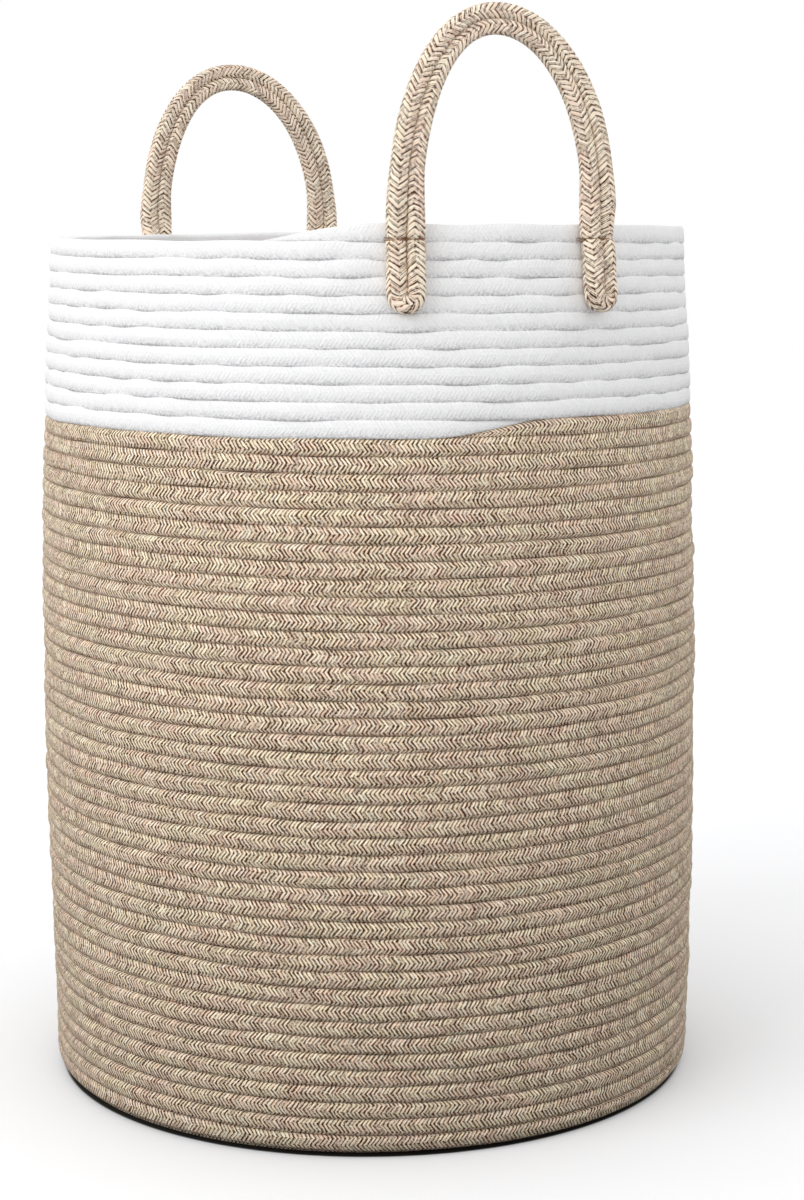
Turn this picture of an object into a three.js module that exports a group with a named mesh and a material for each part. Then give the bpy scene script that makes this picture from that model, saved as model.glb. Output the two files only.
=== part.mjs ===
// Laundry hamper coiled from braided cotton rope, with two rope handles.
// Lengths are in millimetres. +Z is up, the floor is z = 0 and the front handle stands at -Y.
// Azimuths are in degrees. They start at the front handle and grow anticlockwise, seen from above.
import * as THREE from "three";

const GAP = 0.3;

// Wall and base: one rope, laid one course per turn.
const ROPE_DIAMETER = 9.5;
const COURSE_HEIGHT = 9.43;
const FLOOR_RADIUS = 197;
const BELLY_RADIUS = 200;
const RIM_RADIUS = 188.4;
const BELLY_HEIGHT = 200;
const CORNER_RADIUS = 10;

// The rim is lowest just past the rope's end and climbs one course, clockwise, back to it.
const RIM_LOW = 504;
const RIM_END_AZIMUTH = -46;
const WHITE_COURSES = 11.1;
const COLOUR_CHANGE_AZIMUTH = -14;
const TAPER_SPAN = 24;

// Handles: one rope each, folded into two strands that lie side by side.
const STRAND_RADIUS = 5.1;
const STRAND_SPACING = 2 * STRAND_RADIUS + GAP;
const ARCH_ROUNDNESS = 2.05;
const LEG_LENGTH_BELOW_RIM = 47;
const PIVOT_ABOVE_RIM = 8.6;
const LEG_TOP_BELOW_PIVOT = 15;
const HANDLES = [
  { name: "front", azimuth: 0, legSpread: 17.25, rise: 115.8 },
  { name: "back", azimuth: 184.4, legSpread: 18.35, rise: 110.5 },
];

// Stitching that ties each leg to the wall.
const TACK_BELOW_RIM = 7.4;
const TACK_HEIGHT = 2.2;
const TACK_THICKNESS = 1;

// Mesh fineness.
const RING_STEPS = 72;
const WALL_STEPS = 8;
const BAND_STEPS = 4;
const ROUND_STEPS = 4;
const ROPE_SIDES = 10;
const ARCH_STEPS = 32;
const LEG_STEPS = 28;

const BEIGE = new THREE.MeshStandardMaterial({ name: "beige_rope", color: 0xcbb497, roughness: 0.95 });
const WHITE = new THREE.MeshStandardMaterial({ name: "white_rope", color: 0xf1f0ee, roughness: 0.95 });
const THREAD = new THREE.MeshStandardMaterial({ name: "thread", color: 0xb39a7c, roughness: 0.9 });

function polarPoint(azimuth, radius, z) {
  const angle = THREE.MathUtils.degToRad(azimuth);
  return new THREE.Vector3(radius * Math.sin(angle), -radius * Math.cos(angle), z);
}

/** Outer radius of the wall above its rounded bottom corner. */
function wallRadius(z) {
  if (z < BELLY_HEIGHT) {
    const below = (BELLY_HEIGHT - z) / BELLY_HEIGHT;
    return BELLY_RADIUS - (BELLY_RADIUS - FLOOR_RADIUS) * below ** 2;
  }
  const above = (z - BELLY_HEIGHT) / (RIM_LOW - BELLY_HEIGHT);
  return BELLY_RADIUS - (BELLY_RADIUS - RIM_RADIUS) * above ** 2;
}

/** Height of a coil's top edge that climbs one course per turn and steps down where its rope ends. */
function coilHeight(lowest, endAzimuth, azimuth) {
  const pastEnd = THREE.MathUtils.euclideanModulo(endAzimuth - azimuth, 360);
  const climb = 360 - TAPER_SPAN;
  if (pastEnd <= climb) {
    return lowest + COURSE_HEIGHT * pastEnd / climb;
  }
  return lowest + COURSE_HEIGHT * (1 - THREE.MathUtils.smoothstep(pastEnd, climb, 360));
}

function rimHeight(azimuth) {
  return coilHeight(RIM_LOW, RIM_END_AZIMUTH, azimuth);
}

function colourChangeHeight(azimuth) {
  return coilHeight(RIM_LOW - WHITE_COURSES * COURSE_HEIGHT, COLOUR_CHANGE_AZIMUTH, azimuth);
}

function meshFrom(name, positions, indices, material) {
  const geometry = new THREE.BufferGeometry();
  geometry.setAttribute("position", new THREE.Float32BufferAttribute(positions, 3));
  geometry.setIndex(indices);
  geometry.computeVertexNormals();
  const mesh = new THREE.Mesh(geometry, material);
  mesh.name = name;
  return mesh;
}

/** Closed ring. sectionAt(azimuth) lists [radius, z] up the outside, over the top and down the inside. */
function ringMesh(name, sectionAt, material) {
  const sections = [];
  for (let step = 0; step < RING_STEPS; step += 1) {
    const azimuth = 360 * step / RING_STEPS;
    sections.push(sectionAt(azimuth).map(([radius, z]) => polarPoint(azimuth, radius, z)));
  }
  const count = sections[0].length;
  const indices = [];
  for (let step = 0; step < RING_STEPS; step += 1) {
    const here = step * count;
    const next = ((step + 1) % RING_STEPS) * count;
    for (let k = 0; k < count; k += 1) {
      const up = (k + 1) % count;
      indices.push(here + k, next + k, here + up);
      indices.push(here + up, next + k, next + up);
    }
  }
  return meshFrom(name, sections.flat().flatMap((point) => point.toArray()), indices, material);
}

/** Round rope along a curve, with a hemisphere past each end of it. */
function ropeMesh(name, curve, steps, material) {
  const frames = curve.computeFrenetFrames(steps, false);
  const rings = [];
  const addRing = (step, along, radius) => {
    const centre = curve.getPointAt(step / steps).addScaledVector(frames.tangents[step], along);
    for (let side = 0; side < ROPE_SIDES; side += 1) {
      const angle = 2 * Math.PI * side / ROPE_SIDES;
      const point = centre.clone();
      point.addScaledVector(frames.normals[step], radius * Math.cos(angle));
      point.addScaledVector(frames.binormals[step], radius * Math.sin(angle));
      rings.push(point);
    }
  };
  for (let round = 1; round < ROUND_STEPS; round += 1) {
    const angle = Math.PI / 2 * round / ROUND_STEPS;
    addRing(0, -STRAND_RADIUS * Math.cos(angle), STRAND_RADIUS * Math.sin(angle));
  }
  for (let step = 0; step <= steps; step += 1) {
    addRing(step, 0, STRAND_RADIUS);
  }
  for (let round = ROUND_STEPS - 1; round > 0; round -= 1) {
    const angle = Math.PI / 2 * round / ROUND_STEPS;
    addRing(steps, STRAND_RADIUS * Math.cos(angle), STRAND_RADIUS * Math.sin(angle));
  }
  const startPole = rings.length;
  const endPole = startPole + 1;
  rings.push(curve.getPointAt(0).addScaledVector(frames.tangents[0], -STRAND_RADIUS));
  rings.push(curve.getPointAt(1).addScaledVector(frames.tangents[steps], STRAND_RADIUS));

  const indices = [];
  const lastRing = startPole - ROPE_SIDES;
  for (let side = 0; side < ROPE_SIDES; side += 1) {
    const beside = (side + 1) % ROPE_SIDES;
    indices.push(startPole, beside, side);
    indices.push(endPole, lastRing + side, lastRing + beside);
    for (let ring = 0; ring < lastRing; ring += ROPE_SIDES) {
      const next = ring + ROPE_SIDES;
      indices.push(ring + side, ring + beside, next + side);
      indices.push(ring + beside, next + beside, next + side);
    }
  }
  return meshFrom(name, rings.flatMap((point) => point.toArray()), indices, material);
}

function baseCoil() {
  const disc = new THREE.Shape();
  disc.absarc(0, 0, FLOOR_RADIUS - CORNER_RADIUS - GAP, 0, 2 * Math.PI);
  const options = { depth: ROPE_DIAMETER, bevelEnabled: false, curveSegments: RING_STEPS };
  const mesh = new THREE.Mesh(new THREE.ExtrudeGeometry(disc, options), BEIGE);
  mesh.name = "base_coil";
  return mesh;
}

/** Beige courses, from the rounded corner at the floor up to the change of colour. */
function beigeWall() {
  const cornerCentre = FLOOR_RADIUS - CORNER_RADIUS;
  return ringMesh("wall_coil_beige", (azimuth) => {
    const top = colourChangeHeight(azimuth) - GAP / 2;
    const outside = [];
    for (let step = 0; step < ROUND_STEPS; step += 1) {
      const angle = Math.PI / 2 * step / ROUND_STEPS;
      const z = CORNER_RADIUS * (1 - Math.cos(angle));
      outside.push([cornerCentre + CORNER_RADIUS * Math.sin(angle), z]);
    }
    const inside = [[cornerCentre, ROPE_DIAMETER + GAP]];
    for (let step = 0; step <= WALL_STEPS; step += 1) {
      const z = THREE.MathUtils.lerp(CORNER_RADIUS, top, step / WALL_STEPS);
      outside.push([wallRadius(z), z]);
      if (step > 0) {
        inside.push([wallRadius(z) - ROPE_DIAMETER, z]);
      }
    }
    return [...outside, ...inside.reverse()];
  }, BEIGE);
}

/** White courses, from the change of colour up to the rounded rim. */
function whiteWall() {
  return ringMesh("wall_coil_white", (azimuth) => {
    const bottom = colourChangeHeight(azimuth) + GAP / 2;
    const shoulder = rimHeight(azimuth) - ROPE_DIAMETER / 2;
    const outside = [];
    const inside = [];
    for (let step = 0; step <= BAND_STEPS; step += 1) {
      const z = THREE.MathUtils.lerp(bottom, shoulder, step / BAND_STEPS);
      outside.push([wallRadius(z), z]);
      inside.push([wallRadius(z) - ROPE_DIAMETER, z]);
    }
    const rimCentre = wallRadius(shoulder) - ROPE_DIAMETER / 2;
    const crest = [];
    for (let step = 1; step < ROUND_STEPS; step += 1) {
      const angle = Math.PI * step / ROUND_STEPS;
      const z = shoulder + ROPE_DIAMETER / 2 * Math.sin(angle);
      crest.push([rimCentre + ROPE_DIAMETER / 2 * Math.cos(angle), z]);
    }
    return [...outside, ...crest, ...inside.reverse()];
  }, WHITE);
}

/** Height of the rim where a handle stands, at the higher of its two legs. */
function seatHeight(handle) {
  const left = rimHeight(handle.azimuth - handle.legSpread);
  const right = rimHeight(handle.azimuth + handle.legSpread);
  return Math.max(left, right);
}

function legRadius(z) {
  return wallRadius(z) + STRAND_RADIUS + GAP;
}

/** One strand of an arch, offset from the arch's centre line in the arch's own upright plane. */
class ArchStrand extends THREE.Curve {
  constructor(handle, offset) {
    super();
    const seat = seatHeight(handle);
    const spread = THREE.MathUtils.degToRad(handle.legSpread);
    this.offset = offset;
    this.turn = THREE.MathUtils.degToRad(handle.azimuth);
    this.halfWidth = legRadius(seat) * Math.sin(spread);
    this.distance = legRadius(seat) * Math.cos(spread);
    this.baseHeight = seat + PIVOT_ABOVE_RIM;
    this.height = handle.rise - PIVOT_ABOVE_RIM - STRAND_SPACING / 2 - STRAND_RADIUS;
  }

  getPoint(t) {
    const angle = Math.PI * (1 - t);
    const across = Math.sign(Math.cos(angle)) * Math.abs(Math.cos(angle)) ** (2 / ARCH_ROUNDNESS);
    const up = Math.abs(Math.sin(angle)) ** (2 / ARCH_ROUNDNESS);
    const normal = new THREE.Vector2(
      Math.sign(across) * Math.abs(across) ** (ARCH_ROUNDNESS - 1) / this.halfWidth,
      up ** (ARCH_ROUNDNESS - 1) / this.height,
    ).normalize();
    const x = this.halfWidth * across + this.offset * normal.x;
    const z = this.baseHeight + this.height * up + this.offset * normal.y;
    return new THREE.Vector3(x, -this.distance, z).applyAxisAngle(new THREE.Vector3(0, 0, 1), this.turn);
  }
}

/** The folded end of a handle rope, lying on the wall: down one strand, round, and up the other. */
class LegFold extends THREE.Curve {
  constructor(handle, azimuth) {
    super();
    const bottom = rimHeight(azimuth) - LEG_LENGTH_BELOW_RIM + STRAND_RADIUS + STRAND_SPACING / 2;
    this.azimuth = azimuth;
    this.top = seatHeight(handle) + PIVOT_ABOVE_RIM - LEG_TOP_BELOW_PIVOT;
    this.straight = this.top - bottom;
  }

  getPoint(t) {
    const bend = STRAND_SPACING / 2;
    const length = 2 * this.straight + Math.PI * bend;
    const along = t * length;
    const angle = THREE.MathUtils.clamp((along - this.straight) / bend, 0, Math.PI);
    const drop = Math.min(along, length - along, this.straight) + bend * Math.sin(angle);
    const z = this.top - drop;
    const sideways = THREE.MathUtils.radToDeg(bend * Math.cos(angle) / legRadius(z));
    return polarPoint(this.azimuth + sideways, legRadius(z), z);
  }
}

/** Strap of stitching that bridges the two strands of a leg and meets the wall on both sides. */
function tackMesh(name, azimuth) {
  const z = rimHeight(azimuth) - TACK_BELOW_RIM - TACK_HEIGHT / 2;
  const centreHeight = STRAND_RADIUS + GAP;
  const outline = (radius) => {
    const half = STRAND_SPACING / 2;
    const valley = Math.acos(half / radius);
    const points = [new THREE.Vector2(half + radius, GAP)];
    for (let step = 0; step <= ROUND_STEPS; step += 1) {
      const angle = THREE.MathUtils.lerp(0, Math.PI - valley, step / ROUND_STEPS);
      const across = half + radius * Math.cos(angle);
      const height = centreHeight + radius * Math.sin(angle);
      points.push(new THREE.Vector2(across, height));
    }
    const mirrored = points.slice(0, -1).map((point) => new THREE.Vector2(-point.x, point.y));
    return [...points, ...mirrored.reverse()];
  };
  const inner = outline(STRAND_RADIUS + GAP);
  const outer = outline(STRAND_RADIUS + GAP + TACK_THICKNESS);
  const shape = new THREE.Shape([...outer, ...inner.reverse()]);
  const geometry = new THREE.ExtrudeGeometry(shape, { depth: TACK_HEIGHT, bevelEnabled: false });
  geometry.rotateZ(THREE.MathUtils.degToRad(azimuth + 180));
  const seat = polarPoint(azimuth, wallRadius(z), z);
  geometry.translate(seat.x, seat.y, seat.z);
  const mesh = new THREE.Mesh(geometry, THREAD);
  mesh.name = name;
  return mesh;
}

/** One handle. Its left and right are those of someone who faces it from outside the hamper. */
function handleMeshes(handle) {
  const half = STRAND_SPACING / 2;
  const meshes = [
    ropeMesh(`${handle.name}_handle_outer_strand`, new ArchStrand(handle, half), ARCH_STEPS, BEIGE),
    ropeMesh(`${handle.name}_handle_inner_strand`, new ArchStrand(handle, -half), ARCH_STEPS, BEIGE),
  ];
  for (const [side, azimuth] of [
    ["left", handle.azimuth - handle.legSpread],
    ["right", handle.azimuth + handle.legSpread],
  ]) {
    meshes.push(ropeMesh(`${handle.name}_leg_${side}`, new LegFold(handle, azimuth), LEG_STEPS, BEIGE));
    meshes.push(tackMesh(`${handle.name}_tack_${side}`, azimuth));
  }
  return meshes;
}

const hamper = new THREE.Group();
hamper.name = "laundry_hamper";
hamper.add(baseCoil(), beigeWall(), whiteWall(), ...HANDLES.flatMap(handleMeshes));

export default hamper;
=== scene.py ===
"""Laundry hamper coiled from braided cotton rope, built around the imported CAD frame.

Everything is in metres in the CAD's own frame: +Z up, the floor at z = 0, the front handle at -Y.
Azimuths are in degrees from the front handle, growing anticlockwise seen from above.
A coil is measured in turns from the middle of the base. A braid is measured in pitches along the
rope (u) and in columns of slanting bundles round it (v).
"""
import math

import bpy
import numpy as np
from mathutils import Euler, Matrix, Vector


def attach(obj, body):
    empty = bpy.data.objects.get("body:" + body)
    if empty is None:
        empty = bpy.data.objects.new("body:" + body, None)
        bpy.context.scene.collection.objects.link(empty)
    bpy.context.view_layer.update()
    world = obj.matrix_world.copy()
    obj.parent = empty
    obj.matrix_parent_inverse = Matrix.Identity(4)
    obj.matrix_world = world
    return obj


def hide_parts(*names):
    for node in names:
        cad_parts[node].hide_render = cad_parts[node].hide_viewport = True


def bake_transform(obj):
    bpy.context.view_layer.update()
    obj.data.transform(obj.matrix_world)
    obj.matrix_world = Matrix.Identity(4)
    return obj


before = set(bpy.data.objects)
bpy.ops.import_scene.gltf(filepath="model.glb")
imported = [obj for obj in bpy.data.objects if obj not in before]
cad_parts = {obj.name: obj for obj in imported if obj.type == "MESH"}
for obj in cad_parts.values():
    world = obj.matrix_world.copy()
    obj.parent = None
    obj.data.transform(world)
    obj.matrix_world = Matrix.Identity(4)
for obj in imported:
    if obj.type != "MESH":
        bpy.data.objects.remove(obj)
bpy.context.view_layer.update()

MM = 0.001
TURN = 2 * math.pi
UPRIGHT = np.array([0.0, 0.0, 1.0])

# The wall is a barrel of coiled rope that stands on a flat spiral.
COURSE = 9.43 * MM
ROPE_RADIUS = 4.78 * MM
BASE_START_RADIUS = 1.5 * MM
FLOOR_RADIUS = 197 * MM
CORNER_RADIUS = 10 * MM
BELLY_RADIUS = 200 * MM
BELLY_HEIGHT = 200 * MM
RIM_RADIUS = 188.4 * MM
RIM_LOW = 504 * MM

# Where the ropes end and how they thin out there. The tips are shares of the rope's full size.
RIM_END_AZIMUTH = -46
COLOUR_CHANGE_AZIMUTH = -2.5
WHITE_TURNS = 11
TAPER_SPAN = 25
HALF_TAPER_TURNS = TAPER_SPAN / 720
JOIN_TIP = 0.08
RIM_TIP = 0.1
TIP_DEPTH = 0.35

# How square the pressed rope is, and the half height it would have if its neighbours did not press it.
BEIGE_SECTION = {"squareness": 2.8, "swell": 5.5 * MM, "half_height": 4.82 * MM}
WHITE_SECTION = {"squareness": 3.4, "swell": 6.2 * MM, "half_height": 5.0 * MM}
COIL_GIRTH = 7.3 * ROPE_RADIUS

# The coil's mesh: sides of a section, sections in a turn, and points along each part of the profile.
COIL_SIDES = 16
COIL_STEPS = 144
BASE_POINTS = 60
CORNER_POINTS = 16
WALL_POINTS = 300
PROFILE_PROBE = 0.5 * MM

# Where the wall's unevenness fades out towards the floor, for its radius and for its courses.
BULGE_FADE = (0, 60 * MM)
DRIFT_FADE = (10 * MM, 50 * MM)

# Braids. The slant is how far a bundle goes along the rope for each unit that it goes round it.
COIL_COLUMNS = 8
HANDLE_COLUMNS = 6
COIL_PITCH = 2.35 * MM
HANDLE_PITCH = 3.1 * MM
BRAID_SLANT = 0.7
BRAID_RELIEF = 0.32 * MM
COIL_ROLL = 0.12

# Handles: two strands side by side, folded at the foot of each leg and sewn to the wall.
STRAND_RADIUS = 5.2 * MM
STRAND_SPACING = 10.4 * MM
STRAND_SQUARENESS = 2.7
STRAND_SWELL = 1.12
STRAND_GAP = 0.1 * MM
STAND_OFF = 5.25 * MM
ARCH_ROUNDNESS = 2.05
ARCH_MARGIN = 0.02
ARCH_POINTS = 200
LEG_POINTS = 90
LEG_LENGTH_BELOW_RIM = 47 * MM
LEG_TOP_BELOW_RIM = 3 * MM
PIVOT_ABOVE_RIM = 8.6 * MM
HANDLE_STEP = 0.48 * MM
HANDLE_SIDES = 44
PATH_POINTS = 4000
PATH_SMOOTHING = 3 * MM

# The stitching across each leg pinches the rope.
TACK_BELOW_RIM = 7.4 * MM
PINCH = 0.26
PINCH_REACH = 1.0 * MM
THREAD_RADIUS = 0.35 * MM
THREAD_SIDES = 6
THREAD_POINTS = 49
THREAD_OVERHANG = 0.3 * MM
THREAD_DIVE = 1.2 * MM
# Each thread's height above the middle of the stitching, and how much it rises to its right end.
THREADS = ((-0.42 * MM, 0.25 * MM), (0.42 * MM, -0.2 * MM))


# ---------------------------------------------------------------- shape of the wall

def smoothstep(low, high, x):
    t = np.clip((np.asarray(x, float) - low) / (high - low), 0, 1)
    return t * t * (3 - 2 * t)


def signed_power(x, power):
    return np.sign(x) * np.abs(x) ** power


def running_length(points):
    """Length along a line of points, from 0 at its first point."""
    return np.concatenate([[0], np.cumsum(np.linalg.norm(np.diff(points, axis=0), axis=1))])


def polar(azimuth, radius, z):
    angle = np.radians(azimuth)
    return np.stack(np.broadcast_arrays(radius * np.sin(angle), -radius * np.cos(angle), z), -1)


def wall_radius(z):
    """Outer radius of the wall above its rounded bottom corner."""
    z = np.asarray(z, float)
    below = np.clip(BELLY_HEIGHT - z, 0, None) / BELLY_HEIGHT
    above = np.clip(z - BELLY_HEIGHT, 0, None) / (RIM_LOW - BELLY_HEIGHT)
    return BELLY_RADIUS - (BELLY_RADIUS - FLOOR_RADIUS) * below**2 - (BELLY_RADIUS - RIM_RADIUS) * above**2


def rim_height(azimuth):
    """Height of the last course, which climbs with the coil and steps down where the rope ends."""
    past_end = (RIM_END_AZIMUTH - azimuth) % 360
    climb = 360 - TAPER_SPAN
    if past_end <= climb:
        return RIM_LOW + COURSE * past_end / 360
    step = float(smoothstep(climb, 360, past_end))
    return RIM_LOW + COURSE * climb / 360 * (1 - step)


def waves(seed, count, turns, heights, amplitude):
    """A smooth random field over azimuth and height, closed round the hamper.

    turns is the range of waves in a turn, and heights the range of wavelengths up the wall.
    """
    rng = np.random.default_rng(seed)
    around = rng.integers(turns[0], turns[1] + 1, count)
    upward = TURN / rng.uniform(heights[0], heights[1], count) * rng.choice([-1, 1], count)
    phase = rng.uniform(0, TURN, count)
    size = rng.uniform(0.5, 1, count)
    size *= amplitude / np.sqrt((size**2).sum() / 2)

    def field(azimuth, z):
        angle = np.radians(azimuth)
        total = np.zeros(np.broadcast(angle, z).shape)
        for k in range(count):
            total += size[k] * np.sin(around[k] * angle + upward[k] * z + phase[k])
        return total
    return field


slump = waves(seed=11, count=6, turns=(2, 4), heights=(0.5, 1.5), amplitude=0.7 * MM)
ripple = waves(seed=12, count=14, turns=(5, 14), heights=(0.05, 0.16), amplitude=0.35 * MM)
course_bumps = waves(seed=13, count=26, turns=(10, 40), heights=(0.0185, 0.028), amplitude=0.22 * MM)
course_drift = waves(seed=14, count=16, turns=(5, 26), heights=(0.02, 0.05), amplitude=0.22 * MM)


def bulge(azimuth, z):
    """How far the wall stands out of its even shape."""
    fade = smoothstep(*BULGE_FADE, z)
    return fade * (slump(azimuth, z) + ripple(azimuth, z) + course_bumps(azimuth, z))


def outer_radius(azimuth, z):
    return wall_radius(z) + bulge(azimuth, z)


# ---------------------------------------------------------------- mesh helpers

def make_mesh(name, points, face_sets, uv=None):
    """A smooth-shaded mesh object. A face set is an (n, corners) array, and uv has a row for each corner."""
    corners = np.concatenate([faces.ravel() for faces in face_sets]).astype(np.int32)
    sizes = np.concatenate([np.full(len(faces), faces.shape[1]) for faces in face_sets])
    starts = np.cumsum(sizes) - sizes
    mesh = bpy.data.meshes.new(name)
    mesh.vertices.add(len(points))
    mesh.vertices.foreach_set("co", np.asarray(points, np.float32).ravel())
    mesh.loops.add(len(corners))
    mesh.loops.foreach_set("vertex_index", corners)
    mesh.polygons.add(len(starts))
    mesh.polygons.foreach_set("loop_start", starts.astype(np.int32))
    mesh.polygons.foreach_set("use_smooth", np.ones(len(starts), bool))
    if uv is not None:
        layer = mesh.uv_layers.new(name="braid")
        layer.data.foreach_set("uv", np.asarray(uv, np.float32).ravel())
    mesh.update(calc_edges=True)
    mesh.validate()
    piece = bpy.data.objects.new(name, mesh)
    bpy.context.scene.collection.objects.link(piece)
    return piece


def ring_grid(steps, sides, closed=False):
    """Ring and side numbers of the quads that skin a row of rings, and of their neighbours."""
    spans = steps if closed else steps - 1
    ring, side = np.meshgrid(np.arange(spans), np.arange(sides), indexing="ij")
    ring, side = ring.ravel(), side.ravel()
    return ring, side, (ring + 1) % steps, (side + 1) % sides


def tube(name, rings, u, v_start, v_sides, closed=False):
    """Skins rings of points, shape (steps, sides, 3), and shuts the ends of an open tube with fans.

    u and v_start are the braid coordinates of each ring, v_sides is how v grows round a ring.
    """
    steps, sides, _ = rings.shape
    points = rings.reshape(-1, 3)
    i, k, next_i, next_k = ring_grid(steps, sides, closed)
    quads = np.stack([i * sides + k, i * sides + next_k, next_i * sides + next_k, next_i * sides + k], 1)
    uv = np.stack([
        np.stack([u[i], v_start[i] + v_sides[k]], 1),
        np.stack([u[i], v_start[i] + v_sides[k + 1]], 1),
        np.stack([u[i + 1], v_start[i + 1] + v_sides[k + 1]], 1),
        np.stack([u[i + 1], v_start[i + 1] + v_sides[k]], 1),
    ], 1).reshape(-1, 2)
    if closed:
        return make_mesh(name, points, [quads], uv)
    first, last = len(points), len(points) + 1
    points = np.vstack([points, rings[0].mean(0), rings[-1].mean(0)])
    side = np.arange(sides)
    beside = (side + 1) % sides
    end = (steps - 1) * sides
    fans = np.concatenate([
        np.stack([np.full(sides, first), beside, side], 1),
        np.stack([np.full(sides, last), end + side, end + beside], 1),
    ])
    return make_mesh(name, points, [quads, fans], np.concatenate([uv, np.zeros((fans.size, 2))]))


# ---------------------------------------------------------------- the coil

def coil_profile():
    """Rope centres in one upright section: out along the base, round the corner and up the wall."""
    corner = FLOOR_RADIUS - CORNER_RADIUS
    bend = CORNER_RADIUS - ROPE_RADIUS
    flat = np.linspace(BASE_START_RADIUS, corner, BASE_POINTS)
    angle = np.linspace(-math.pi / 2, 0, CORNER_POINTS)[1:]
    z = np.linspace(CORNER_RADIUS, RIM_LOW + COURSE, WALL_POINTS)[1:]
    return np.concatenate([
        np.stack([flat, np.full(BASE_POINTS, ROPE_RADIUS)], 1),
        np.stack([corner + bend * np.cos(angle), CORNER_RADIUS + bend * np.sin(angle)], 1),
        np.stack([wall_radius(z) - ROPE_RADIUS, z], 1),
    ])


PROFILE = coil_profile()
PROFILE_LENGTH = running_length(PROFILE)
RIM_END = np.interp(RIM_LOW + COURSE / 2, PROFILE[BASE_POINTS:, 1], PROFILE_LENGTH[BASE_POINTS:])
TOTAL_TURNS = RIM_END / COURSE
WHITE_START = TOTAL_TURNS - WHITE_TURNS - (COLOUR_CHANGE_AZIMUTH - RIM_END_AZIMUTH) / 360
BASE_END = PROFILE_LENGTH[BASE_POINTS - 1] / COURSE


def profile_at(length):
    """Radius and height of the rope's centre after a length of profile."""
    return np.stack([np.interp(length, PROFILE_LENGTH, PROFILE[:, axis]) for axis in (0, 1)], 1)


def coil_azimuth(turns):
    return RIM_END_AZIMUTH + 360 * (TOTAL_TURNS - turns)


def twist(turns, seed):
    """How far the braid has rolled about the rope's own axis, in columns. It dwells near whole columns."""
    rng = np.random.default_rng(seed)
    total = COIL_ROLL * turns
    for _ in range(6):
        size = rng.uniform(0.1, 0.3)
        waves_per_turn = rng.uniform(0.1, 1.3)
        total = total + size * np.sin(turns * TURN * waves_per_turn + rng.uniform(0, TURN))
    whole = np.floor(total)
    return whole + smoothstep(0.25, 0.75, total - whole) + 0.12 * np.sin(turns * TURN * 3.7)


def pressed_section(shape):
    """The pressed rope's section: shares of its half width outward and of its half height upward."""
    theta = TURN * np.arange(COIL_SIDES) / COIL_SIDES
    across = signed_power(np.cos(theta), 2 / shape["squareness"])
    upward = signed_power(np.sin(theta), 2 / shape["squareness"])
    return across, np.clip(upward * shape["swell"] / ROPE_RADIUS, -1, 1)


def full_size(turns):
    return np.ones_like(turns), np.zeros_like(turns)


def beige_taper(turns):
    """The beige rope's end thins out under the start of the white one."""
    left = 1 - smoothstep(WHITE_START - HALF_TAPER_TURNS, WHITE_START + HALF_TAPER_TURNS, turns)
    share = np.clip(left, JOIN_TIP, 1)
    return share, -(1 - share) / 2


def white_taper(turns):
    """The white rope starts thin on top of the beige one and thins out again at the rim."""
    begun = smoothstep(WHITE_START - HALF_TAPER_TURNS, WHITE_START + HALF_TAPER_TURNS, turns)
    begun = np.clip(begun, JOIN_TIP, 1)
    left = 1 - smoothstep(TOTAL_TURNS - 2 * HALF_TAPER_TURNS, TOTAL_TURNS, turns)
    left = np.clip(left, RIM_TIP, 1)
    return begun * left, (1 - begun) / 2 - (1 - left) / 2


def coil_rope(name, start, end, shape, taper, seed):
    """One length of rope from turn start to turn end. taper(turns) gives its share of full height and its
    lift in courses. The attribute course_level runs from -1 under a course to 1 on top of it.
    """
    turns = np.linspace(start, end, int((end - start) * COIL_STEPS) + 1)
    azimuth = coil_azimuth(turns)
    radius, z = profile_at(turns * COURSE).T
    up = profile_at(turns * COURSE + PROFILE_PROBE) - profile_at(turns * COURSE - PROFILE_PROBE)
    up /= np.linalg.norm(up, axis=1)[:, None]
    out = np.stack([up[:, 1], -up[:, 0]], 1)
    share, lift = taper(turns)
    radius = radius + bulge(azimuth, z)
    z = z + course_drift(azimuth, z) * smoothstep(*DRIFT_FADE, z) + lift * COURSE
    across, upward = pressed_section(shape)
    half_out = ROPE_RADIUS * (TIP_DEPTH + (1 - TIP_DEPTH) * share)[:, None] * across
    half_up = shape["half_height"] * share[:, None] * upward
    ring_radius = radius[:, None] + out[:, :1] * half_out + up[:, :1] * half_up
    ring_z = np.maximum(z[:, None] + out[:, 1:] * half_out + up[:, 1:] * half_up, 0)
    rings = polar(azimuth[:, None], ring_radius, ring_z)
    # The rope runs clockwise, so its rings are reversed to keep the faces outward.
    rings = rings[:, ::-1]
    section = np.stack([across, upward], 1)[::-1]
    round_section = running_length(np.vstack([section, section[:1]]))
    along = running_length(polar(azimuth, radius, z))
    v_sides = COIL_COLUMNS * round_section / round_section[-1]
    piece = tube(name, rings, along / COIL_PITCH, twist(turns, seed), v_sides)
    # The two points after the rings are the middles of the end fans.
    level = np.concatenate([np.tile(section[:, 1], len(turns)), [0, 0]])
    layer = piece.data.attributes.new("course_level", "FLOAT", "POINT")
    layer.data.foreach_set("value", level.astype(np.float32))
    return piece


base = coil_rope("base_spiral", 0.0, BASE_END, BEIGE_SECTION, full_size, seed=3)
wall_beige = coil_rope(
    "wall_rope_beige", BASE_END, WHITE_START + HALF_TAPER_TURNS, BEIGE_SECTION, beige_taper, seed=4)
wall_white = coil_rope(
    "wall_rope_white", WHITE_START - HALF_TAPER_TURNS, TOTAL_TURNS, WHITE_SECTION, white_taper, seed=5)


# ---------------------------------------------------------------- handles

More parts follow.
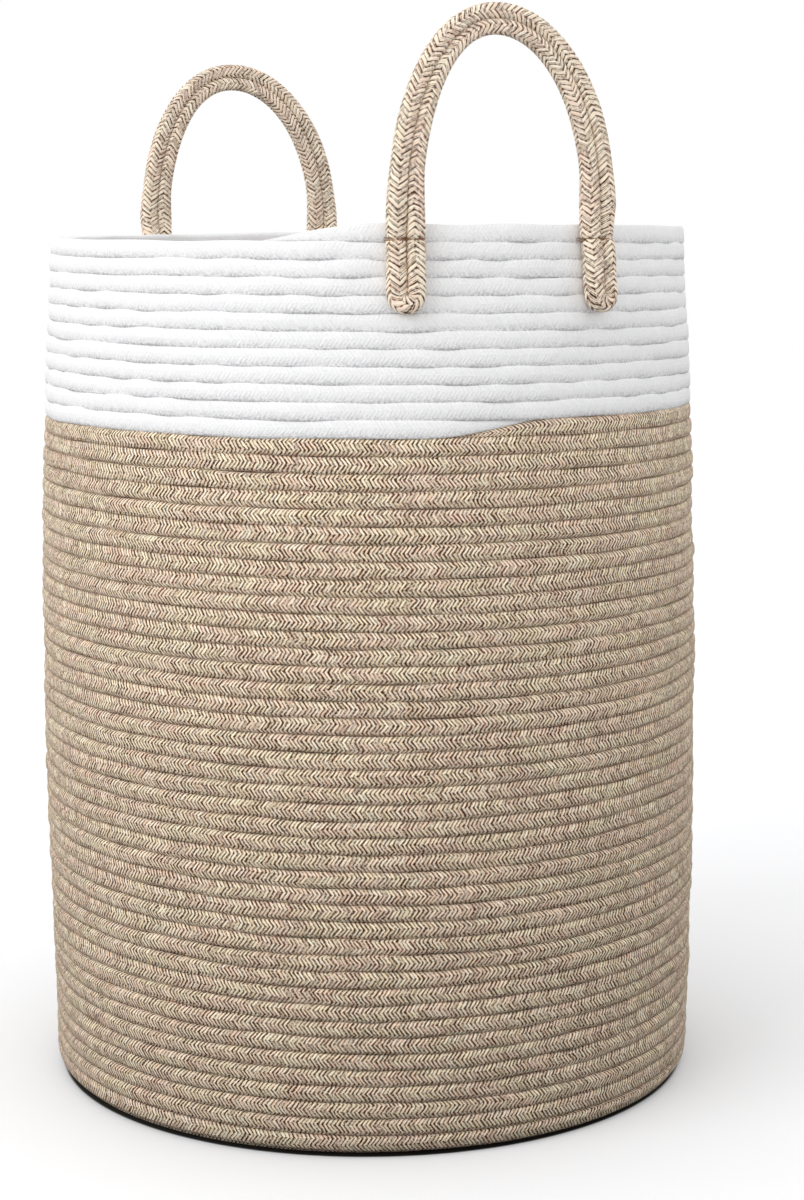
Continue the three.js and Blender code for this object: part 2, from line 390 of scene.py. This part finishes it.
def strand_share(height):
    """Width of the strands against their width at the legs, from height 0 at the pivot to 1 at the top."""
    return 1 - 0.1 * smoothstep(0, 0.25, height) - 0.09 * smoothstep(0.4, 1, height)


class Handle:
    """Where one handle sits. spread is the angle from its middle to a leg, lean is how far its top leans."""

    def __init__(self, name, azimuth, spread, rise, lean):
        self.name = name
        self.low = azimuth - spread
        self.high = azimuth + spread
        self.lean = lean
        turn = math.radians(azimuth)
        self.outward = np.array([math.sin(turn), -math.cos(turn), 0.0])
        self.along = np.array([math.cos(turn), math.sin(turn), 0.0])
        seat = max(rim_height(self.low), rim_height(self.high))
        leg_radius = float(wall_radius(seat)) + STAND_OFF
        self.half_width = leg_radius * math.sin(math.radians(spread))
        self.distance = leg_radius * math.cos(math.radians(spread))
        self.pivot_height = seat + PIVOT_ABOVE_RIM
        half_thickness = (STRAND_SPACING / 2 + STRAND_RADIUS) * float(strand_share(1))
        self.arch_height = rise - PIVOT_ABOVE_RIM - half_thickness

    def arch(self, offset, angles):
        """A strand's line over the top, offset from the middle of the pair."""
        across = signed_power(np.cos(angles), 2 / ARCH_ROUNDNESS)
        up = np.abs(np.sin(angles)) ** (2 / ARCH_ROUNDNESS)
        normal_across = signed_power(across, ARCH_ROUNDNESS - 1) / self.half_width
        normal_up = up ** (ARCH_ROUNDNESS - 1) / self.arch_height
        size = np.hypot(normal_across, normal_up) / strand_share(up)
        x = self.half_width * across + offset * normal_across / size + self.lean * up**3
        z = self.pivot_height + self.arch_height * up + offset * normal_up / size
        return x[:, None] * self.along + self.distance * self.outward + z[:, None] * UPRIGHT

    def path(self):
        """Centre line of the rope: outer arch from high to low, low leg, inner arch back, high leg."""
        angles = np.linspace(ARCH_MARGIN, math.pi - ARCH_MARGIN, ARCH_POINTS)
        outer_arch = self.arch(STRAND_SPACING / 2, angles)
        inner_arch = self.arch(-STRAND_SPACING / 2, angles[::-1])
        return np.concatenate([outer_arch, leg(self.low), inner_arch, leg(self.high)])


def leg(azimuth):
    """Down one strand of a leg, round the fold at its foot and up the other."""
    half = STRAND_SPACING / 2
    bottom = rim_height(azimuth) - LEG_LENGTH_BELOW_RIM + STRAND_RADIUS + half
    straight = rim_height(azimuth) - LEG_TOP_BELOW_RIM - bottom
    length = 2 * straight + math.pi * half
    along = np.linspace(0, length, LEG_POINTS)
    angle = np.clip((along - straight) / half, 0, math.pi)
    drop = np.minimum(np.minimum(along, length - along), straight) + half * np.sin(angle)
    z = bottom + straight - drop
    radius = outer_radius(azimuth, z) + STAND_OFF
    return polar(azimuth - np.degrees(half * np.cos(angle) / radius), radius, z)


def resample(points, step):
    """Evenly spaced points on a smoothed closed loop, and the loop's length."""
    closed = np.vstack([points, points[:1]])
    length = running_length(closed)
    fine = np.linspace(0, length[-1], PATH_POINTS, endpoint=False)
    line = np.stack([np.interp(fine, length, closed[:, axis]) for axis in range(3)], 1)
    reach = int(PATH_SMOOTHING / (length[-1] / PATH_POINTS))
    kernel = np.hanning(2 * reach + 3)[1:-1]
    kernel /= kernel.sum()
    for axis in range(3):
        padded = np.concatenate([line[-reach:, axis], line[:, axis], line[:reach, axis]])
        line[:, axis] = np.convolve(padded, kernel, "valid")
    closed = np.vstack([line, line[:1]])
    length = running_length(closed)
    at = np.linspace(0, length[-1], int(round(length[-1] / step)), endpoint=False)
    return np.stack([np.interp(at, length, closed[:, axis]) for axis in range(3)], 1), length[-1]


def braid_height(u, v, slant):
    """Height of the braid's surface, 0 in the gaps and 1 on a bundle's crest."""
    column = np.floor(v)
    w = v - column
    lean = 1 - 2 * np.mod(column, 2)
    phase = u + lean * (w - 0.5) * slant
    within = phase - np.floor(phase)
    ridge = np.sqrt(np.clip(1 - (2 * within - 1) ** 2, 0, 1))
    tuck = 1 - 0.55 * np.abs(2 * w - 1) ** 4
    return ridge * tuck


def slant_of(pitch, girth, columns):
    """How many pitches a bundle moves along the rope while it crosses one column."""
    return BRAID_SLANT * girth / columns / pitch


def slow_roll(count, seed):
    """How far a closed braid has rolled about the rope's own axis, in columns."""
    rng = np.random.default_rng(seed)
    t = np.arange(count) / count
    roll = np.zeros(count)
    for k in range(1, 6):
        roll += rng.uniform(-0.35, 0.35) * np.sin(TURN * k * t + rng.uniform(0, TURN))
    return roll


def strand_radius(handle, line, theta, height):
    """Distance from the rope's centre to its surface, for each point of the line and each angle theta."""
    z = line[:, 2]
    leg_rim = np.where(line @ handle.along > 0, rim_height(handle.high), rim_height(handle.low))
    pinch = 1 - PINCH * np.exp(-((z - (leg_rim - TACK_BELOW_RIM)) / PINCH_REACH) ** 2)
    powers = np.abs(np.cos(theta)) ** STRAND_SQUARENESS + np.abs(np.sin(theta)) ** STRAND_SQUARENESS
    square = powers ** (-1 / STRAND_SQUARENESS)
    share = strand_share((z - handle.pivot_height) / handle.arch_height)[:, None]
    radius = (STRAND_RADIUS * share * square - BRAID_RELIEF * (1 - height)) * pinch[:, None]
    return radius, share


def handle_rope(handle, seed):
    """The closed, braided rope of a handle, and how its braid slants."""
    line, length = resample(handle.path(), HANDLE_STEP)
    count = len(line)
    tangent = np.roll(line, -1, 0) - np.roll(line, 1, 0)
    tangent /= np.linalg.norm(tangent, axis=1)[:, None]
    # The cross sections are set against the direction that faces out of the wall.
    out = handle.outward - (tangent @ handle.outward)[:, None] * tangent
    out /= np.linalg.norm(out, axis=1)[:, None]
    side = np.cross(tangent, out)
    roll = slow_roll(count, seed)
    pitches = round(length / HANDLE_PITCH)
    u = np.arange(count + 1) / count * pitches
    theta = TURN * np.arange(HANDLE_SIDES) / HANDLE_SIDES
    v = roll[:, None] + HANDLE_COLUMNS * theta / TURN
    slant = slant_of(length / pitches, TURN * STRAND_RADIUS, HANDLE_COLUMNS)
    height = braid_height(u[:-1, None], v, slant)
    radius, share = strand_radius(handle, line, theta, height)
    # The side that faces the other strand is swollen and pressed flat against it.
    sideways = radius * np.sin(theta)
    pressed = np.maximum(sideways * STRAND_SWELL, STRAND_GAP / 2 - STRAND_SPACING / 2 * share)
    sideways = np.where(sideways < 0, pressed, sideways)
    rings = (line[:, None] + out[:, None] * (radius * np.cos(theta))[..., None]
             + side[:, None] * sideways[..., None])
    v_sides = HANDLE_COLUMNS * np.arange(HANDLE_SIDES + 1) / HANDLE_SIDES
    name = f"{handle.name}_handle_rope"
    return tube(name, rings, u, np.append(roll, roll[0]), v_sides, closed=True), slant


def thread_lift(across):
    """How far a thread stands out of the wall as it crosses both strands and dives in beside them."""
    half = STRAND_SPACING / 2
    from_centre = np.abs(np.abs(across) - half) / STRAND_RADIUS
    roundness = np.clip(1 - from_centre**STRAND_SQUARENESS, 0, 1) ** (1 / STRAND_SQUARENESS)
    crest = STRAND_RADIUS * (1 - PINCH) * roundness
    valley = STAND_OFF * 0.55 * (np.abs(across) < half) - 1.6 * MM
    outside = np.abs(across) > half + STRAND_RADIUS - 0.4 * MM
    lift = np.where(outside, -THREAD_DIVE, STAND_OFF + np.maximum(crest, valley))
    return np.convolve(np.pad(lift, 2, "edge"), np.full(5, 0.2), "valid")


def stitch(name, azimuth):
    """Two turns of thread across both strands of a leg, going down into the wall on either side."""
    reach = STRAND_SPACING / 2 + STRAND_RADIUS
    height = rim_height(azimuth) - TACK_BELOW_RIM
    across = np.linspace(-reach - THREAD_OVERHANG, reach + THREAD_OVERHANG, THREAD_POINTS)
    lift = thread_lift(across)
    theta = TURN * np.arange(THREAD_SIDES) / THREAD_SIDES
    i, k, next_i, next_k = ring_grid(THREAD_POINTS, THREAD_SIDES)
    quads = np.stack([
        i * THREAD_SIDES + k, next_i * THREAD_SIDES + k,
        next_i * THREAD_SIDES + next_k, i * THREAD_SIDES + next_k], 1)
    points, face_sets = [], []
    for level, rise in THREADS:
        z = height + level + rise * across / reach
        radius = outer_radius(azimuth, z) + lift
        line = polar(azimuth + np.degrees(across / radius), radius, z)
        tangent = np.gradient(line, axis=0)
        tangent /= np.linalg.norm(tangent, axis=1)[:, None]
        upward = UPRIGHT - tangent[:, 2:] * tangent
        upward /= np.linalg.norm(upward, axis=1)[:, None]
        outward = np.cross(tangent, upward)
        rings = line[:, None] + THREAD_RADIUS * (
            outward[:, None] * np.cos(theta)[:, None] + upward[:, None] * np.sin(theta)[:, None])
        face_sets.append(quads + len(points) * THREAD_POINTS * THREAD_SIDES)
        points.append(rings.reshape(-1, 3))
    return make_mesh(name, np.concatenate(points), face_sets)


# ---------------------------------------------------------------- materials

class Graph:
    """Small helper for building shader nodes as expressions."""

    def __init__(self, name):
        self.material = bpy.data.materials.new(name)
        self.material.use_nodes = True
        self.tree = self.material.node_tree
        self.shader = self.tree.nodes["Principled BSDF"]

    def node(self, kind, **settings):
        made = self.tree.nodes.new(kind)
        for key, value in settings.items():
            setattr(made, key, value)
        return made

    def put(self, socket, value):
        if isinstance(value, bpy.types.NodeSocket):
            self.tree.links.new(value, socket)
        else:
            socket.default_value = value

    def set(self, name, value):
        self.put(self.shader.inputs[name], value)

    def math(self, operation, *values, clamp=False):
        made = self.node("ShaderNodeMath", operation=operation, use_clamp=clamp)
        for socket, value in zip(made.inputs, values):
            self.put(socket, value)
        return made.outputs[0]

    def add(self, a, b):
        return self.math("ADD", a, b)

    def sub(self, a, b):
        return self.math("SUBTRACT", a, b)

    def mul(self, a, b):
        return self.math("MULTIPLY", a, b)

    def smooth(self, low, high, value):
        made = self.node("ShaderNodeMapRange", interpolation_type="SMOOTHSTEP")
        self.put(made.inputs["Value"], value)
        self.put(made.inputs["From Min"], low)
        self.put(made.inputs["From Max"], high)
        return made.outputs["Result"]

    def vector(self, x, y, z):
        made = self.node("ShaderNodeCombineXYZ")
        for socket, value in zip(made.inputs, (x, y, z)):
            self.put(socket, value)
        return made.outputs[0]

    def object_position(self):
        return self.node("ShaderNodeTexCoord").outputs["Object"]

    def noise(self, vector, scale, detail, roughness=0.5):
        made = self.node("ShaderNodeTexNoise")
        self.put(made.inputs["Vector"], vector)
        made.inputs["Scale"].default_value = scale
        made.inputs["Detail"].default_value = detail
        made.inputs["Roughness"].default_value = roughness
        return made.outputs[0]

    def random(self, x, y, z):
        made = self.node("ShaderNodeTexWhiteNoise", noise_dimensions="3D")
        self.put(made.inputs["Vector"], self.vector(x, y, z))
        return made.outputs["Value"]

    def mix(self, factor, a, b):
        made = self.node("ShaderNodeMix", data_type="RGBA")
        self.put(made.inputs["Factor"], factor)
        self.put(made.inputs["A"], a)
        self.put(made.inputs["B"], b)
        return made.outputs["Result"]

    def bump(self, height, distance):
        made = self.node("ShaderNodeBump")
        made.inputs["Strength"].default_value = 1.0
        made.inputs["Distance"].default_value = distance
        self.put(made.inputs["Height"], height)
        self.set("Normal", made.outputs[0])


def colour(red, green, blue):
    """Linear colour from 8-bit display values."""
    def linear(value):
        c = value / 255
        return c / 12.92 if c <= 0.04045 else ((c + 0.055) / 1.055) ** 2.4
    return (linear(red), linear(green), linear(blue), 1.0)


YARNS_IN_BUNDLE = 3

# Cream and blush are the patches of a rope; tan and pale are single yarns in them; dark is painted shade in
# the gaps.
# A line's reach is how wide it is, in pitches for seams between bundles and in yarns for the finer ones.
BEIGE = {
    "cream": colour(255, 239, 207), "blush": colour(255, 229, 205), "tan": colour(206, 165, 126),
    "pale": colour(255, 248, 229), "dark": colour(72, 32, 3),
    "tan_yarn": 0.32, "pale_yarn": 0.7, "seam_reach": 0.2, "seam_spread": 0.12,
    "seam_low": 0.94, "seam_high": 0.8, "yarn_reach": 0.46, "yarn_line": 0.82,
    "low_shade": 0.14, "seat_shade": 0.12, "speckle": (0.3, 0.6), "fuzz": 0.2, "fuzz_scale": 1.0,
    "yarn_relief": 0.3, "relief": 0.45 * MM,
}
HANDLE = dict(
    BEIGE, cream=colour(255, 240, 217), blush=colour(253, 230, 210), tan=colour(209, 174, 141),
    seam_reach=0.15, seam_spread=0.09, seam_low=0.8, seam_high=0.7, yarn_reach=0.4, yarn_line=1.0)
WHITE = {
    "cream": colour(242, 242, 243), "blush": colour(240, 240, 241), "tan": colour(234, 234, 236),
    "pale": colour(248, 248, 248), "dark": colour(120, 120, 126),
    "tan_yarn": 0.3, "pale_yarn": 0.4, "seam_reach": 0.12, "seam_spread": 0.05,
    "seam_low": 0.0, "seam_high": 0.06, "yarn_reach": 0.35, "yarn_line": 0.06,
    "low_shade": 0.42, "seat_shade": 0.0, "speckle": (0.42, 0.6), "fuzz": 1.6, "fuzz_scale": 1.1,
    "yarn_relief": 0.1, "relief": 0.3 * MM,
}


class Braid(Graph):
    """Braided rope. The uv map gives braid pitches along the rope and columns round it."""

    def __init__(self, name, slant, palette, seed):
        super().__init__(name)
        self.palette = palette
        self.seed = float(seed)
        split = self.node("ShaderNodeSeparateXYZ")
        self.put(split.inputs[0], self.node("ShaderNodeUVMap", uv_map="braid").outputs[0])
        self.u, self.v = split.outputs[0], split.outputs[1]
        self.column = self.math("FLOOR", self.v)
        across = self.sub(self.v, self.column)
        lean = self.sub(1.0, self.mul(self.math("FLOORED_MODULO", self.column, 2.0), 2.0))
        warp = self.mul(self.sub(self.stretched_noise(0.3, 0.7, 0, 1.0, 1.0), 0.5), 0.7)
        self.phase = self.add(
            self.add(self.u, self.mul(self.mul(lean, self.sub(across, 0.5)), slant)), warp)
        self.yarns = self.mul(self.phase, float(YARNS_IN_BUNDLE))
        # corner rises to 1 at the edges of a column, where bundles dive under each other.
        self.corner = self.math("POWER", self.math("ABSOLUTE", self.sub(self.mul(across, 2.0), 1.0)), 4.0)
        self.fibres = self.stretched_noise(1.9, 3.4, 3, palette["fuzz_scale"], 3.0, 0.6)
        self.seam_distance, seams = self.seams()
        self.gap_distance, gaps = self.yarn_gaps()
        self.set("Base Color", self.colours(self.math("MAXIMUM", seams, gaps)))
        self.bump(self.relief(), palette["relief"])
        self.set("Roughness", self.add(0.82, self.mul(self.fibres, 0.16)))
        self.set("Specular IOR Level", 0.1)
        self.set("Sheen Weight", 0.03)
        self.set("Sheen Roughness", 0.6)

    def stretched_noise(self, along, across, shift, scale, detail, roughness=0.5):
        place = self.vector(self.mul(self.u, along), self.mul(self.v, across), self.seed + shift)
        return self.noise(place, scale, detail, roughness)

    def seams(self):
        """Distance to the nearest seam between bundles, and its strong line of painted shade."""
        seam = self.math("ROUND", self.phase)
        distance = self.math("ABSOLUTE", self.sub(self.phase, seam))
        chance = self.random(self.add(self.column, 5.0), seam, self.seed + 0.5)
        spread = self.mul(self.add(self.corner, chance), self.palette["seam_spread"])
        reach = self.add(self.palette["seam_reach"], spread)
        line = self.sub(1.0, self.smooth(self.mul(reach, 0.25), reach, distance))
        strength = self.add(self.palette["seam_low"], self.mul(chance, self.palette["seam_high"]))
        return distance, self.mul(line, strength)

    def yarn_gaps(self):
        """Distance to the nearest gap between yarns, and its finer line of painted shade."""
        gap = self.math("ROUND", self.yarns)
        distance = self.math("ABSOLUTE", self.sub(self.yarns, gap))
        chance = self.random(self.add(self.column, 17.0), gap, self.seed + 1.5)
        line = self.sub(1.0, self.smooth(0.05, self.palette["yarn_reach"], distance))
        strength = self.mul(self.smooth(0.15, 1.0, chance), self.palette["yarn_line"])
        return distance, self.mul(line, strength)

    def colours(self, lines):
        """Patches, paler and darker yarns, broken dark lines of painted shade in the gaps, and painted shade
        low on each course and at its seams.
        """
        palette = self.palette
        broken = self.add(0.35, self.mul(self.smooth(0.38, 0.62, self.fibres), 1.1))
        lines = self.math("MULTIPLY", lines, broken, clamp=True)
        patches = self.stretched_noise(0.08, 0.4, 9, 1.0, 2.0)
        chance = self.random(self.add(self.column, 31.0), self.math("FLOOR", self.yarns), self.seed)
        body = self.mix(self.smooth(0.4, 0.6, patches), palette["cream"], palette["blush"])
        tan_share = self.mul(self.smooth(0.5, 1.0, chance), palette["tan_yarn"])
        body = self.mix(tan_share, body, palette["tan"])
        pale_share = self.mul(self.sub(1.0, self.smooth(0.0, 0.5, chance)), palette["pale_yarn"])
        body = self.mix(pale_share, body, palette["pale"])
        # Painted shade: the gaps between bundles and yarns are darkened towards the dark colour.
        body = self.mix(lines, body, palette["dark"])
        # Painted shade: each course is darkened towards its underside and next to its seams with the courses
        # above and below, broken up by the fibre speckle.
        level = self.node("ShaderNodeAttribute", attribute_name="course_level").outputs["Fac"]
        low = self.smooth(0.1, 1.0, self.mul(level, -1.0))
        seat = self.smooth(0.72, 0.98, self.math("ABSOLUTE", level))
        shade = self.add(self.mul(low, palette["low_shade"]), self.mul(seat, palette["seat_shade"]))
        return self.mix(self.mul(shade, self.smooth(*palette["speckle"], self.fibres)), body, palette["dark"])

    def relief(self):
        """Rounded bundles that dive under at the column edges, yarns and loose fibres."""
        ridge = self.math("SQRT", self.math("MINIMUM", self.mul(self.seam_distance, 2.0), 1.0))
        tuck = self.sub(1.0, self.mul(self.corner, 0.5))
        yarns = self.mul(self.math("SQRT", self.gap_distance), self.palette["yarn_relief"])
        height = self.add(self.mul(self.mul(ridge, tuck), 0.6), yarns)
        return self.add(height, self.mul(self.fibres, self.palette["fuzz"]))


def thread_material():
    """Brown sewing thread with fine plies."""
    g = Graph("sewing_thread")
    ply = g.noise(g.object_position(), 2200.0, 2.0)
    g.set("Base Color", g.mix(g.smooth(0.3, 0.7, ply), colour(96, 66, 44), colour(160, 124, 92)))
    g.set("Roughness", g.add(0.7, g.mul(ply, 0.2)))
    g.bump(ply, 0.1 * MM)
    return g.material


# ---------------------------------------------------------------- pieces on the frame

coil_slant = slant_of(COIL_PITCH, COIL_GIRTH, COIL_COLUMNS)
beige_coil = Braid("beige_braid_coil", coil_slant, BEIGE, 1).material
white_coil = Braid("white_braid_coil", coil_slant, WHITE, 2).material
base.data.materials.append(beige_coil)
wall_beige.data.materials.append(beige_coil)
wall_white.data.materials.append(white_coil)

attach(base, "basket")
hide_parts("base_coil")
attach(wall_beige, "basket")
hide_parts("wall_coil_beige")
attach(wall_white, "basket")
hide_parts("wall_coil_white")

handles = (
    Handle("front", azimuth=0.0, spread=17.25, rise=115.8 * MM, lean=-3.8 * MM),
    Handle("back", azimuth=184.4, spread=18.35, rise=110.5 * MM, lean=4.2 * MM),
)
thread = thread_material()
for index, handle in enumerate(handles):
    which = handle.name
    rope, slant = handle_rope(handle, 40 + index)
    rope.data.materials.append(Braid(f"beige_braid_{which}", slant, HANDLE, 20 + index).material)
    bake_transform(rope)
    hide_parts(f"{which}_handle_outer_strand", f"{which}_handle_inner_strand",
                f"{which}_leg_left", f"{which}_leg_right")
    for hand, azimuth in (("left", handle.low), ("right", handle.high)):
        tack = stitch(f"{which}_{hand}_stitch", azimuth)
        tack.data.materials.append(thread)
        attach(tack, "basket")
        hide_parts(f"{which}_tack_{hand}")


# ---------------------------------------------------------------- stage, light and camera

STAGE_RADIUS = 12.0
FLAG_RADIUS = 0.9
FLAG_DEPTH = 1 * MM
# The floor is painted black inside this ring, a painted contact shadow where the rounded bottom edge rests on
# it.
PAINTED_SHADOW_EDGE = (FLOOR_RADIUS - 4.5 * MM, FLOOR_RADIUS - 2.5 * MM)
PAINTED_CONTACT_SHADOW = (0.03, 0.028, 0.025, 1)
# Painted shade: the floor is slightly darker and bluer near the hamper, fading to white over the fade
# distances.
FLOOR_NEAR_PAINTED_SHADE = (0.975, 0.983, 1, 1)
FLOOR_FAR = (1, 1, 1, 1)
FLOOR_FADE = (0.3, 1.6)
FLAG_COLOUR = (0.03, 0.03, 0.03, 1)

CAMERA_AZIMUTH = -23.19
CAMERA_DISTANCE = 1.487
CAMERA_HEIGHT = 0.5105
CAMERA_PITCH = 0.1512
CAMERA_YAW = 0.01338
CAMERA_ROLL = 0.004
CAMERA_LENS = 73.08
CAMERA_SENSOR = 36

KEY_AZIMUTH = CAMERA_AZIMUTH - 50
KEY_DISTANCE = 2.4
KEY_HEIGHT = 1.6
KEY_SIZE = (2.0, 1.4)
KEY_POWER = 26
KEY_AIM = (0, 0, 0.4)


def disc(name, radius, height, material):
    """A flat round sheet that faces up, for the stage."""
    steps = 96
    angle = TURN * np.arange(steps) / steps
    rim = np.stack([radius * np.cos(angle), radius * np.sin(angle), np.full(steps, height)], 1)
    points = np.vstack([rim, [[0, 0, height]]])
    side = np.arange(steps)
    sheet = make_mesh(name, points, [np.stack([side, (side + 1) % steps, np.full(steps, steps)], 1)])
    sheet.data.materials.append(material)
    return sheet


def floor_material():
    """Pale paper with a painted contact shadow under the hamper's edge, and painted shade that makes it
    slightly darker and bluer near the hamper.
    """
    g = Graph("pale_floor")
    distance = g.node("ShaderNodeVectorMath", operation="LENGTH")
    g.put(distance.inputs[0], g.object_position())
    distance = distance.outputs["Value"]
    # Painted shade: slightly darker and bluer paper near the hamper.
    pale = g.mix(g.smooth(*FLOOR_FADE, distance), FLOOR_NEAR_PAINTED_SHADE, FLOOR_FAR)
    # Painted contact shadow: black inside the ring under the hamper's rounded bottom edge.
    g.set("Base Color", g.mix(g.smooth(*PAINTED_SHADOW_EDGE, distance), PAINTED_CONTACT_SHADOW, pale))
    g.set("Roughness", 0.9)
    g.set("Specular IOR Level", 0.1)
    return g.material


def flag_material():
    g = Graph("dark_flag")
    g.set("Base Color", FLAG_COLOUR)
    g.set("Roughness", 1.0)
    return g.material


def set_stage():
    """The camera sees a pale floor that sends no light back. A dark flag under it shades the hamper."""
    floor = disc("stage_floor", STAGE_RADIUS, 0.0, floor_material())
    floor.visible_diffuse = False
    flag = disc("stage_flag", FLAG_RADIUS, -FLAG_DEPTH, flag_material())
    flag.visible_camera = False
    flag.visible_shadow = False


def set_camera():
    data = bpy.data.cameras.new("camera")
    data.lens = CAMERA_LENS
    data.sensor_width = CAMERA_SENSOR
    data.clip_start = 0.05
    data.clip_end = 50
    camera = bpy.data.objects.new("camera", data)
    bpy.context.scene.collection.objects.link(camera)
    camera.location = polar(CAMERA_AZIMUTH, CAMERA_DISTANCE, CAMERA_HEIGHT)
    heading = math.radians(CAMERA_AZIMUTH) - CAMERA_YAW
    look = Euler((math.pi / 2 - CAMERA_PITCH, 0, heading), "XYZ").to_matrix()
    roll = Euler((0, 0, -CAMERA_ROLL), "XYZ").to_matrix()
    camera.rotation_euler = (look @ roll).to_euler()
    bpy.context.scene.camera = camera


def set_lights():
    """One large soft key light on the left and an even white surround."""
    data = bpy.data.lights.new("key", "AREA")
    data.shape = "RECTANGLE"
    data.size, data.size_y = KEY_SIZE
    data.energy = KEY_POWER
    light = bpy.data.objects.new("key", data)
    bpy.context.scene.collection.objects.link(light)
    place = polar(KEY_AZIMUTH, KEY_DISTANCE, KEY_HEIGHT)
    light.location = place
    light.rotation_euler = (Vector(KEY_AIM) - Vector(place)).to_track_quat("-Z", "Y").to_euler()
    world = bpy.data.worlds.new("studio")
    world.use_nodes = True
    world.node_tree.nodes["Background"].inputs["Color"].default_value = (1, 1, 1, 1)
    world.node_tree.nodes["Background"].inputs["Strength"].default_value = 1.0
    bpy.context.scene.world = world


set_stage()
set_camera()
set_lights()
bpy.context.scene.view_settings.view_transform = "Standard"
bpy.context.scene.view_settings.look = "None"
